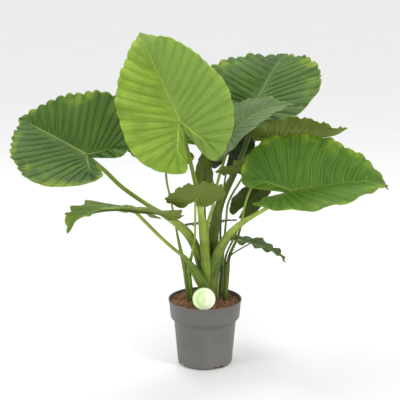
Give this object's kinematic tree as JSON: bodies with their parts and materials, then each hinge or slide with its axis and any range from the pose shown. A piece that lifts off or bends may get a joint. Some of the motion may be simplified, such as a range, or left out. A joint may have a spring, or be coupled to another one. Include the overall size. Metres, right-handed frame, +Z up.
{
  "type": "potted alocasia",
  "caption": "House plant with large heart-shaped leaves on long arching stalks, in a grey nursery pot with a stepped collar, filled with coir soil, with a round plant label.",
  "frame": {"origin": "middle of the pot's flat underside", "axes": "+Z up; -Y is the front, where the label stands; +X to the right as seen from the front"},
  "size_m": [0.9804, 0.6951, 0.8559],
  "materials": {
    "pot_plastic": "satin",
    "coir_soil": "matte",
    "label_plastic": "satin",
    "leaf_stalk": "satin",
    "leaf_blade": "satin"
  },
  "bodies": {
    "root": {"pot": "pot_plastic", "soil": "coir_soil", "label": "label_plastic", "main_stem": "leaf_stalk", "left_stem": "leaf_stalk", "right_stem": "leaf_stalk", "rear_stem": "leaf_stalk", "front_leaf_stalk": "leaf_stalk", "front_leaf_blade": "leaf_blade", "left_leaf_stalk": "leaf_stalk", "left_leaf_blade": "leaf_blade", "back_leaf_stalk": "leaf_stalk", "back_leaf_blade": "leaf_blade", "right_leaf_stalk": "leaf_stalk", "right_leaf_blade": "leaf_blade", "young_leaf_stalk": "leaf_stalk", "young_leaf_blade": "leaf_blade", "low_left_leaf_stalk": "leaf_stalk", "low_left_leaf_blade": "leaf_blade", "narrow_leaf_stalk": "leaf_stalk", "narrow_leaf_blade": "leaf_blade", "centre_leaf_stalk": "leaf_stalk", "centre_leaf_blade": "leaf_blade", "shaded_leaf_stalk": "leaf_stalk", "shaded_leaf_blade": "leaf_blade", "folded_leaf_stalk": "leaf_stalk", "folded_leaf_blade": "leaf_blade", "small_leaf_stalk": "leaf_stalk", "small_leaf_blade": "leaf_blade", "low_right_leaf_stalk": "leaf_stalk", "low_right_leaf_blade": "leaf_blade", "inner_leaf_stalk": "leaf_stalk", "inner_leaf_blade": "leaf_blade", "rear_leaf_stalk": "leaf_stalk", "rear_leaf_blade": "leaf_blade", "flat_back_leaf_stalk": "leaf_stalk", "flat_back_leaf_blade": "leaf_blade"}
  },
  "joints": []
}
